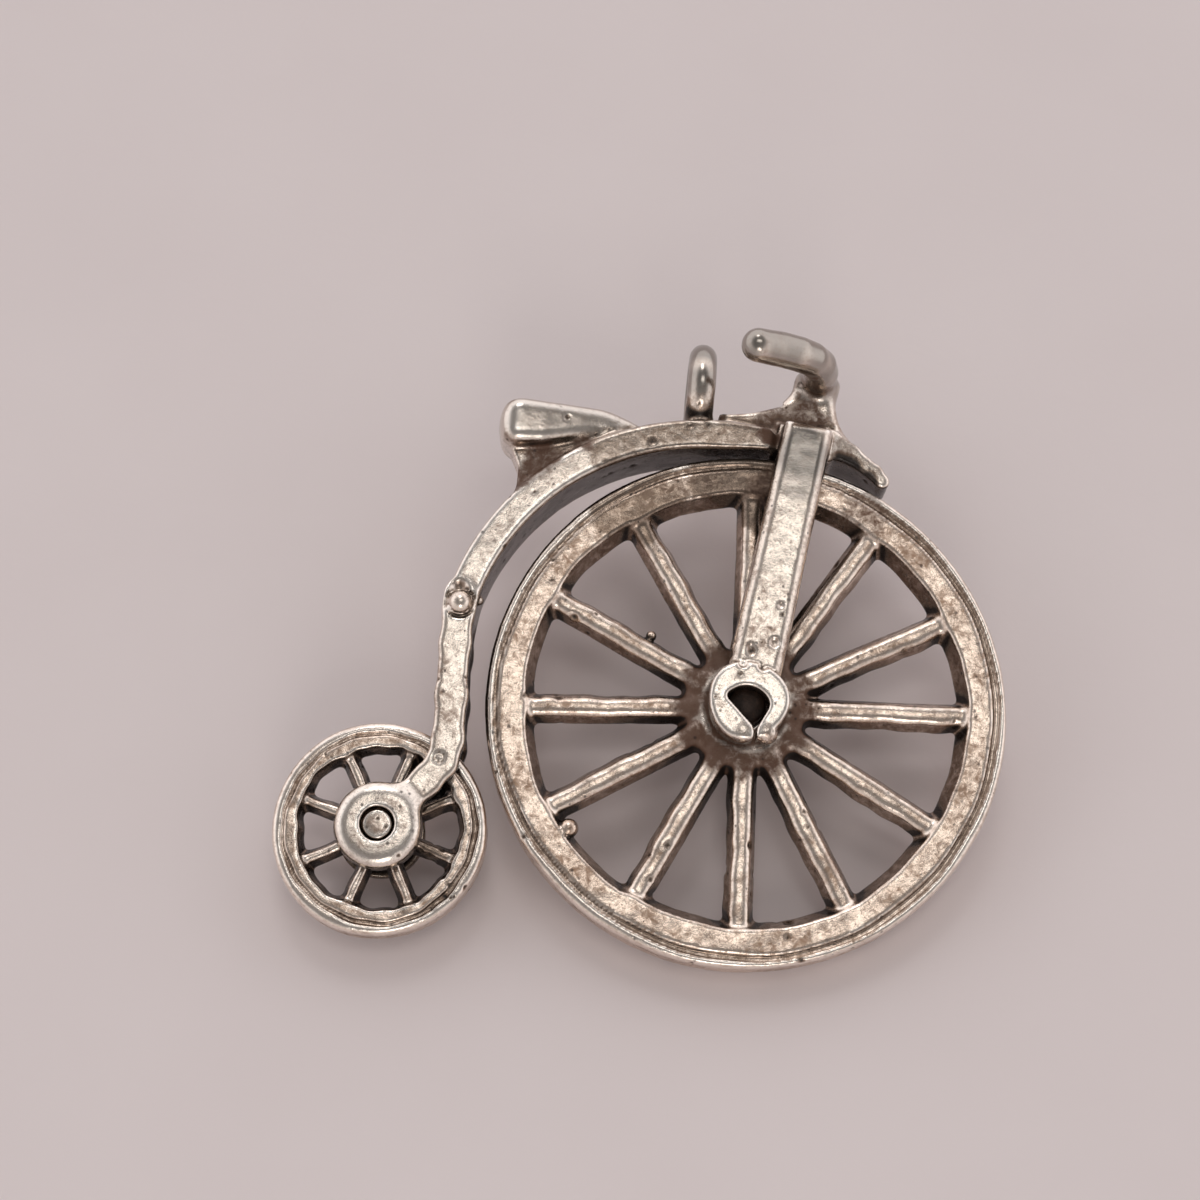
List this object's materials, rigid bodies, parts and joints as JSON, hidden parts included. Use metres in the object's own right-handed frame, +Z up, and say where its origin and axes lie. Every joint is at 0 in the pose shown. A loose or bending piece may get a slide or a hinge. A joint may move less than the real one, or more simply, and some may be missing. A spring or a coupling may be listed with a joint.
{
  "type": "penny farthing bicycle charm",
  "caption": "Small cast silver charm in the shape of a penny farthing bicycle, lying on its side; both spoked wheels turn in their forks and a bail takes a jump ring.",
  "frame": {"origin": "centre of the lying charm's box, on the surface it lies on", "axes": "+X from the rear wheel to the front wheel, +Z up from the surface, +Y towards the handlebar, so the charm's right side faces up"},
  "size_m": [0.0232, 0.0204, 0.0085],
  "materials": {
    "frame_silver": "cast sterling silver, worn bright on its edges with dark patina in its hollows",
    "wheel_silver": "cast sterling silver, pitted, warm grey patina",
    "pin_silver": "cut silver wire, tarnished"
  },
  "bodies": {
    "frame": {"rear_axle_rivet": "pin_silver", "backbone": "frame_silver", "rear_fork_bridge": "frame_silver", "mounting_step": "frame_silver", "crown": "frame_silver", "handlebar_stem": "frame_silver", "brake_spoon": "frame_silver", "saddle": "frame_silver", "saddle_bracket": "frame_silver", "bail": "frame_silver", "fork_blade_right": "frame_silver", "fork_eye_right": "frame_silver", "handlebar_right": "frame_silver", "rear_fork_leg_right": "frame_silver", "rear_fork_eye_right": "frame_silver", "fork_blade_left": "frame_silver", "fork_eye_left": "frame_silver", "handlebar_left": "frame_silver", "rear_fork_leg_left": "frame_silver", "rear_fork_eye_left": "frame_silver"},
    "front_wheel": {"front_tyre": "wheel_silver", "front_felloe": "wheel_silver", "front_spokes": "wheel_silver", "front_hub": "wheel_silver", "front_axle": "pin_silver"},
    "rear_wheel": {"rear_tyre": "wheel_silver", "rear_felloe": "wheel_silver", "rear_spokes": "wheel_silver", "rear_hub": "wheel_silver"}
  },
  "joints": [
    {"name": "front_wheel_spin", "type": "hinge", "parent": "frame", "child": "front_wheel", "pos_m": [0.00316, -0.0019, 0.00223], "axis": [0.0329, -0.185, 0.9822], "continuous": true},
    {"name": "rear_wheel_spin", "type": "hinge", "parent": "frame", "child": "rear_wheel", "pos_m": [-0.00816, -0.00681, 0.00168], "axis": [0.0329, -0.185, 0.9822], "continuous": true}
  ]
}
